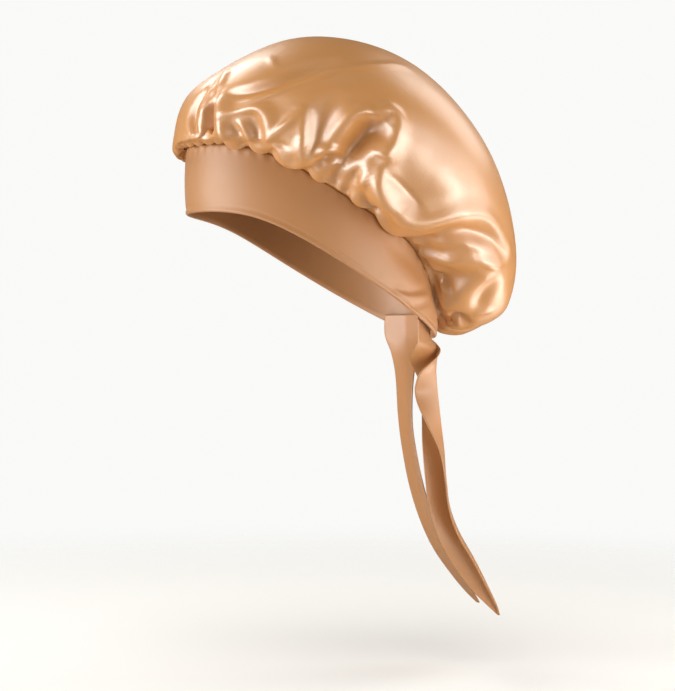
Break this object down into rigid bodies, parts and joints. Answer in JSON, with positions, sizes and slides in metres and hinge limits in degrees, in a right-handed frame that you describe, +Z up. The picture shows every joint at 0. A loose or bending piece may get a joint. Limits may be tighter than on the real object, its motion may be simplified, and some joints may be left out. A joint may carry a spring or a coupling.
{
  "type": "sleep bonnet",
  "caption": "Satin sleep bonnet in its worn form: a full gathered crown on a wide plain band that tapers to the nape, with long flat tie tails hanging behind.",
  "frame": {"origin": "middle of the head opening, halfway between the band's brow edge and its nape edge, where the head sits", "axes": "+Z up, -Y towards the wearer's face, +X to the wearer's left"},
  "size_m": [0.254, 0.2676, 0.4465],
  "materials": {
    "satin": "glossy satin, champagne gold",
    "band_cloth": "matt, smooth, champagne gold",
    "tie_cloth": "matt, smooth, champagne gold"
  },
  "bodies": {
    "root": {"crown": "satin", "band": "band_cloth", "tie_left": "tie_cloth", "tie_right": "tie_cloth"}
  },
  "joints": []
}
